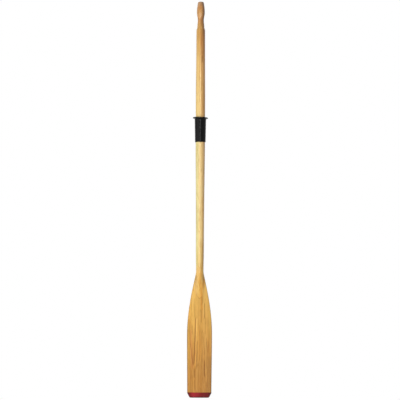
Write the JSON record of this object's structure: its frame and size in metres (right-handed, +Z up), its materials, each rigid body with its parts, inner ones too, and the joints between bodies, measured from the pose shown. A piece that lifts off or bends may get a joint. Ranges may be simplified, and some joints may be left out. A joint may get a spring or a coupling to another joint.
{
  "type": "oar",
  "caption": "Wooden rowing oar with a turned grip, a round loom, a sliding rubber collar with a stop flange, and a long flat blade with a red tip.",
  "frame": {"origin": "on the loom's axis, level with the foot of the collar's flange, where the rowlock bears", "axes": "+Z runs up the loom to the end of the grip; the blade hangs along -Z and its faces look along -Y and +Y; X runs across the blade"},
  "size_m": [0.133, 0.0806, 2.1],
  "materials": {
    "loom_wood": "pale straight-grained softwood under amber gloss varnish",
    "blade_wood": "flat-sawn softwood under amber gloss varnish",
    "tip_lacquer": "hardwood strip in deep red gloss lacquer, darker at the cut corners",
    "bare_wood": "bare hardwood, glued",
    "collar_rubber": "black satin moulded rubber"
  },
  "bodies": {
    "oar": {"loom_front": "loom_wood", "loom_core": "loom_wood", "loom_back": "loom_wood", "blade_wing_left": "blade_wood", "blade_wing_right": "blade_wood", "blade_tip": "tip_lacquer", "tip_spline": "bare_wood"},
    "collar": {"collar": "collar_rubber"}
  },
  "joints": [
    {"name": "collar_slide", "type": "slide", "parent": "oar", "child": "collar", "axis": [0, 0, 1], "range_m": [-0.05, 0.05]}
  ]
}
